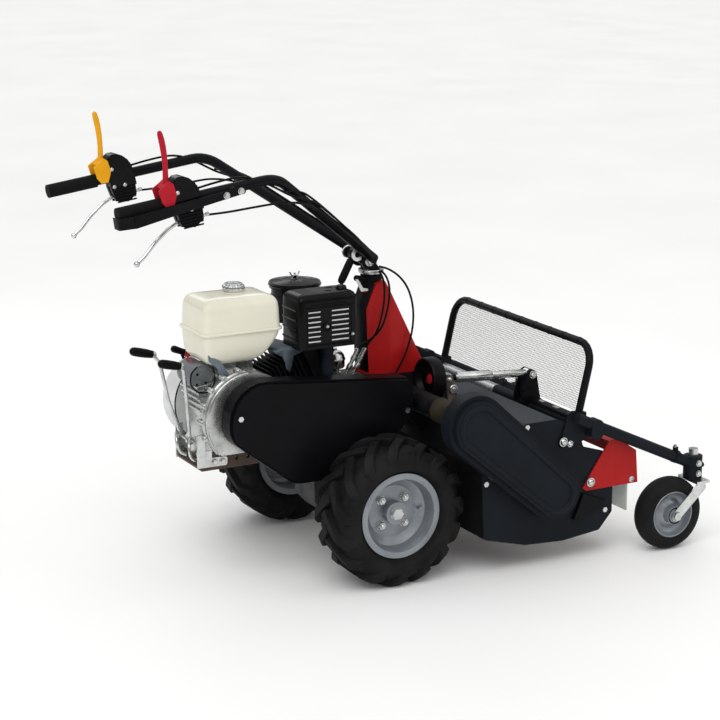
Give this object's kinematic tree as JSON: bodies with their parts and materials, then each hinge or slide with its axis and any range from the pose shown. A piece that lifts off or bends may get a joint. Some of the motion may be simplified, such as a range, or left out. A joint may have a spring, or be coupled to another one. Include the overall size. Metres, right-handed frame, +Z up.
{
  "type": "flail mower",
  "caption": "Walk-behind flail mower: two-wheel engine unit with long handlebars driving a front flail deck on swivelling gauge wheels with a mesh guard.",
  "frame": {"origin": "on the ground, at the middle of the footprint's bounding box", "axes": "+X forward to the gauge wheels, +Y to the operator's left, +Z up"},
  "size_m": [1.706, 1.022, 1.2578],
  "materials": {
    "tyre": "moulded",
    "rim_paint": "satin",
    "casting": "as cast",
    "frame_paint": "satin",
    "alloy": "as cast",
    "engine_black": "matt",
    "fan_grey": "satin",
    "tank_cream": "gloss",
    "bright": "polished",
    "muffler_steel": "heat darkened",
    "black_plastic": "gloss",
    "black_paint": "satin",
    "rubber": "matt",
    "red_paint": "gloss",
    "zinc": "zinc plated",
    "hood_grey": "textured",
    "anthracite": "satin",
    "gear_brown": "painted",
    "steel": "machined",
    "wear_steel": "worn",
    "yellow_plastic": "satin",
    "red_plastic": "satin",
    "curtain_sheet": "translucent"
  },
  "bodies": {
    "machine": {"gearbox_housing": "casting", "engine_frame": "frame_paint", "crankcase": "alloy", "engine_cylinder": "engine_black", "recoil_cover": "fan_grey", "fuel_tank": "tank_cream", "muffler": "muffler_steel", "muffler_cover": "black_paint", "air_cleaner": "black_plastic", "main_belt_cover": "black_plastic", "drive_belt": "rubber", "column": "red_paint", "control_cables": "rubber", "lever_bracket": "zinc", "deck_hood": "hood_grey", "deck_sides": "anthracite", "deck_belt_cover": "black_plastic", "deck_belt": "rubber", "deck_gearbox": "gear_brown", "bolts": "zinc"},
    "wheel_left": {"tyre_left": "tyre", "rim_left": "rim_paint"},
    "wheel_right": {"tyre_right": "tyre", "rim_right": "rim_paint"},
    "gauge_frame": {"gauge_cross_bar": "black_paint", "gauge_arm_left": "black_paint", "gauge_arm_right": "black_paint", "guard_frame": "anthracite", "guard_mesh": "anthracite"},
    "handlebars": {"handlebar_left": "black_paint", "handlebar_right": "black_paint", "grips": "rubber", "control_housings": "black_plastic", "bar_cables": "rubber"},
    "engine_pulley": {"engine_pulley": "steel"},
    "gearbox_pulley": {"gearbox_pulley": "steel"},
    "deck_drive_pulley": {"deck_drive_pulley": "steel"},
    "rotor": {"rotor": "wear_steel"},
    "flail_row_a": {"flail_row_a": "wear_steel"},
    "flail_row_b": {"flail_row_b": "wear_steel"},
    "front_hood": {"front_hood": "red_paint"},
    "front_curtain": {"front_curtain": "curtain_sheet"},
    "link_clevis": {"link_clevis": "zinc"},
    "link_tube": {"link_tube": "zinc"},
    "handwheel": {"handwheel": "black_plastic"},
    "caster_fork_left": {"caster_fork_left": "zinc"},
    "caster_fork_right": {"caster_fork_right": "zinc"},
    "caster_wheel_left": {"caster_wheel_left": "tyre"},
    "caster_wheel_right": {"caster_wheel_right": "tyre"},
    "handlebar_head": {"handlebar_head": "black_paint"},
    "clamp_lever": {"clamp_lever": "black_plastic"},
    "clutch_lever": {"clutch_lever": "yellow_plastic"},
    "drive_lever": {"drive_lever": "red_plastic"},
    "brake_lever_left": {"brake_lever_left": "steel"},
    "brake_lever_right": {"brake_lever_right": "steel"},
    "stop_lever": {"stop_lever": "steel"},
    "gear_lever_near": {"gear_lever_near": "black_plastic"},
    "gear_lever_far": {"gear_lever_far": "black_plastic"},
    "fuel_cap": {"fuel_cap": "bright"},
    "recoil_grip": {"recoil_grip": "black_plastic"}
  },
  "joints": [
    {"name": "wheel_left_spin", "type": "hinge", "parent": "machine", "child": "wheel_left", "pos_m": [-0.09299, 0.319, 0.2], "axis": [0, 1, 0], "continuous": true},
    {"name": "wheel_right_spin", "type": "hinge", "parent": "machine", "child": "wheel_right", "pos_m": [-0.09299, -0.319, 0.2], "axis": [0, 1, 0], "continuous": true},
    {"name": "caster_left_swivel", "type": "hinge", "parent": "gauge_frame", "child": "caster_fork_left", "pos_m": [0.81701, 0.458, 0.229], "axis": [0, 0, 1], "continuous": true},
    {"name": "caster_left_spin", "type": "hinge", "parent": "caster_fork_left", "child": "caster_wheel_left", "pos_m": [0.73301, 0.458, 0.105], "axis": [0, 1, 0], "continuous": true},
    {"name": "caster_right_swivel", "type": "hinge", "parent": "gauge_frame", "child": "caster_fork_right", "pos_m": [0.81701, -0.458, 0.229], "axis": [0, 0, 1], "continuous": true},
    {"name": "caster_right_spin", "type": "hinge", "parent": "caster_fork_right", "child": "caster_wheel_right", "pos_m": [0.73301, -0.458, 0.105], "axis": [0, 1, 0], "continuous": true},
    {"name": "gauge_frame_pivot", "type": "hinge", "parent": "machine", "child": "gauge_frame", "pos_m": [0.39601, 0, 0.351], "axis": [0, 1, 0], "range_deg": [-7, 7]},
    {"name": "link_tilt", "type": "hinge", "parent": "machine", "child": "link_clevis", "pos_m": [0.19301, -0.126, 0.489], "axis": [0, 1, 0], "range_deg": [-3, 3]},
    {"name": "link_slide", "type": "slide", "parent": "link_clevis", "child": "link_tube", "axis": [0.9979, 0, -0.0651], "range_m": [-0.017, 0.017]},
    {"name": "handwheel_spin", "type": "hinge", "parent": "link_clevis", "child": "handwheel", "pos_m": [0.19301, -0.126, 0.489], "axis": [0.9979, 0, -0.0651], "range_deg": [-480, 480]},
    {"name": "rotor_spin", "type": "hinge", "parent": "machine", "child": "rotor", "pos_m": [0.33901, 0, 0.224], "axis": [0, 1, 0], "continuous": true},
    {"name": "deck_pulley_spin", "type": "hinge", "parent": "machine", "child": "deck_drive_pulley", "pos_m": [0.08401, 0, 0.447], "axis": [0, 1, 0], "continuous": true},
    {"name": "flail_row_a_swing", "type": "hinge", "parent": "rotor", "child": "flail_row_a", "pos_m": [0.40501, 0, 0.224], "axis": [0, 1, 0], "range_deg": [-90, 25]},
    {"name": "flail_row_b_swing", "type": "hinge", "parent": "rotor", "child": "flail_row_b", "pos_m": [0.27301, 0, 0.224], "axis": [0, 1, 0], "range_deg": [-25, 90]},
    {"name": "gearbox_pulley_spin", "type": "hinge", "parent": "machine", "child": "gearbox_pulley", "pos_m": [-0.19299, 0, 0.38], "axis": [0, 1, 0], "continuous": true},
    {"name": "engine_pulley_spin", "type": "hinge", "parent": "machine", "child": "engine_pulley", "pos_m": [-0.42699, 0, 0.458], "axis": [0, 1, 0], "continuous": true},
    {"name": "handlebar_swivel", "type": "hinge", "parent": "machine", "child": "handlebar_head", "pos_m": [0.02201, 0, 0.78], "axis": [0, 0, 1], "range_deg": [-25, 25], "deforming": ["control_cables"]},
    {"name": "handlebar_height", "type": "hinge", "parent": "handlebar_head", "child": "handlebars", "pos_m": [-0.00099, 0, 0.826], "axis": [0, 1, 0], "range_deg": [-12, 18], "deforming": ["control_cables"]},
    {"name": "clamp_lever_turn", "type": "hinge", "parent": "handlebar_head", "child": "clamp_lever", "pos_m": [-0.03699, 0, 0.846], "axis": [0, 1, 0], "range_deg": [0, 90]},
    {"name": "clutch_lever_pull", "type": "hinge", "parent": "handlebars", "child": "clutch_lever", "pos_m": [-0.68675, 0.225, 1.09587], "axis": [0, 1, 0], "range_deg": [-70, 0], "stiffness_Nm_per_rad": 1, "springref_deg": 17.19},
    {"name": "drive_lever_pull", "type": "hinge", "parent": "handlebars", "child": "drive_lever", "pos_m": [-0.68675, -0.225, 1.09587], "axis": [0, 1, 0], "range_deg": [-70, 0], "stiffness_Nm_per_rad": 1, "springref_deg": 17.19},
    {"name": "brake_left_squeeze", "type": "hinge", "parent": "handlebars", "child": "brake_lever_left", "pos_m": [-0.62909, 0.225, 1.01612], "axis": [0, 1, 0], "range_deg": [0, 28], "stiffness_Nm_per_rad": 2, "springref_deg": -17.19},
    {"name": "brake_right_squeeze", "type": "hinge", "parent": "handlebars", "child": "brake_lever_right", "pos_m": [-0.62909, -0.225, 1.01612], "axis": [0, 1, 0], "range_deg": [0, 28], "stiffness_Nm_per_rad": 2, "springref_deg": -17.19},
    {"name": "stop_lever_lift", "type": "hinge", "parent": "handlebars", "child": "stop_lever", "pos_m": [-0.51267, -0.225, 1.09307], "axis": [0, 1, 0], "range_deg": [0, 8], "stiffness_Nm_per_rad": 4, "springref_deg": -11.46},
    {"name": "gear_lever_near_swing", "type": "hinge", "parent": "machine", "child": "gear_lever_near", "pos_m": [-0.56299, -0.06, 0.393], "axis": [0, 1, 0], "range_deg": [-10, 6]},
    {"name": "gear_lever_far_swing", "type": "hinge", "parent": "machine", "child": "gear_lever_far", "pos_m": [-0.56299, 0, 0.393], "axis": [0, 1, 0], "range_deg": [-10, 8]},
    {"name": "fuel_cap_turn", "type": "hinge", "parent": "machine", "child": "fuel_cap", "pos_m": [-0.40499, -0.008, 0.78], "axis": [0, 0, 1], "range_deg": [0, 90]},
    {"name": "recoil_pull", "type": "slide", "parent": "machine", "child": "recoil_grip", "axis": [-0.3, 0, 0.9539], "range_m": [0, 0.2], "stiffness_N_per_m": 40, "springref_m": -0.05},
    {"name": "front_hood_lift", "type": "hinge", "parent": "machine", "child": "front_hood", "pos_m": [0.47901, 0, 0.226], "axis": [0, 1, 0], "range_deg": [-18, 0]},
    {"name": "front_curtain_swing", "type": "hinge", "parent": "front_hood", "child": "front_curtain", "pos_m": [0.61901, 0, 0.214], "axis": [0, 1, 0], "range_deg": [0, 40]}
  ],
  "couplings": [
    {"joint": "link_tilt", "follows": "gauge_frame_pivot", "ratio": 0.23514},
    {"joint": "link_slide", "follows": "gauge_frame_pivot", "m_per_rad": 0.1245},
    {"joint": "handwheel_spin", "follows": "gauge_frame_pivot", "ratio": 65.186},
    {"joint": "deck_pulley_spin", "follows": "rotor_spin", "ratio": 0.8871},
    {"joint": "engine_pulley_spin", "follows": "gearbox_pulley_spin", "ratio": 1.8222}
  ]
}
